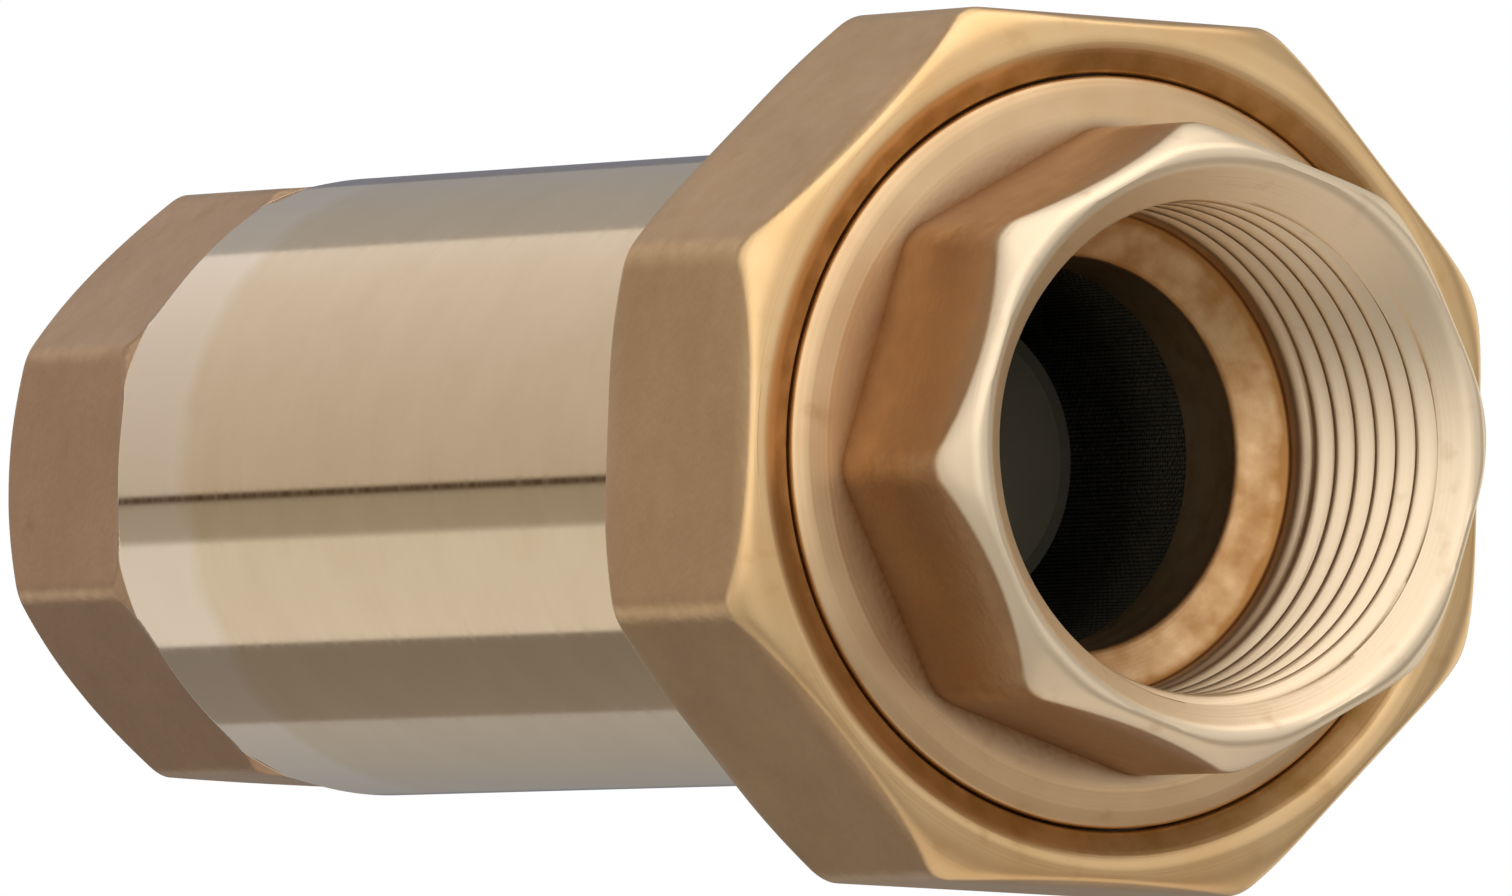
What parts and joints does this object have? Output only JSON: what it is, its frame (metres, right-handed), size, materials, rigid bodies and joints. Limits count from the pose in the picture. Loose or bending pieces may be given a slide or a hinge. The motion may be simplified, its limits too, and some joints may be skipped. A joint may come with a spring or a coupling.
{
  "type": "magnetic system filter",
  "caption": "In-line brass pipe filter for heating water: octagonal union nut and tailpiece in front, round barrel and octagonal collar behind, magnet core in a strainer basket.",
  "frame": {"origin": "middle of the filter, on its pipe axis, half way between the two port rims", "axes": "Y along the pipe axis, from the union end (front, -Y) to the collar end (rear, +Y); Z square to an octagon flat"},
  "size_m": [0.054, 0.1186, 0.054],
  "materials": {
    "casing_brass": "forged and shot-blasted collar, finely turned and nickel-washed bright barrel",
    "nut_brass": "forged and shot-blasted flats, turned bright faces",
    "tailpiece_brass": "forged and blasted flats, turned faces and thread",
    "spring_steel": "drawn wire, dull",
    "seal_rubber": "matte black",
    "stainless": "satin",
    "stainless_mesh": "fine woven wire",
    "cap_plastic": "moulded, matte, dark grey-green",
    "magnet_nickel": "nickel plated",
    "soft_iron": "turned, bare"
  },
  "bodies": {
    "casing": {"casing": "casing_brass"},
    "union_ring": {"nut_retaining_ring": "spring_steel", "union_gasket": "seal_rubber"},
    "tailpiece": {"tailpiece": "tailpiece_brass"},
    "union_nut": {"union_nut": "nut_brass"},
    "cartridge": {"basket_rim": "stainless", "basket_cage": "stainless", "strainer_liner": "stainless_mesh", "basket_end_plate": "stainless", "core_sleeve": "stainless", "core_nose_cap": "cap_plastic", "core_tail_cap": "cap_plastic", "nose_cap_o_ring": "seal_rubber", "tail_cap_o_ring": "seal_rubber", "pole_disc_1": "soft_iron", "magnet_1": "magnet_nickel", "pole_disc_2": "soft_iron", "magnet_2": "magnet_nickel", "pole_disc_3": "soft_iron", "magnet_3": "magnet_nickel", "pole_disc_4": "soft_iron", "magnet_4": "magnet_nickel", "pole_disc_5": "soft_iron", "magnet_5": "magnet_nickel", "pole_disc_6": "soft_iron", "core_tie_rod": "stainless", "core_lock_washer": "stainless", "core_lock_nut": "stainless"}
  },
  "joints": [
    {"name": "union_draw", "type": "slide", "parent": "casing", "child": "union_ring", "axis": [0, -1, 0], "range_m": [0, 0.01001]},
    {"name": "nut_turn", "type": "hinge", "parent": "union_ring", "child": "union_nut", "pos_m": [0, -0.0365, 0], "axis": [0, -1, 0], "range_deg": [0, 1800]},
    {"name": "tail_swivel", "type": "hinge", "parent": "union_ring", "child": "tailpiece", "pos_m": [0, -0.04, 0], "axis": [0, -1, 0], "continuous": true},
    {"name": "basket_draw", "type": "slide", "parent": "casing", "child": "cartridge", "axis": [0, -1, 0], "range_m": [0, 0.01001]}
  ],
  "couplings": [
    {"joint": "union_draw", "follows": "nut_turn", "m_per_rad": 0.00031831},
    {"joint": "basket_draw", "follows": "nut_turn", "m_per_rad": 0.00031831}
  ]
}
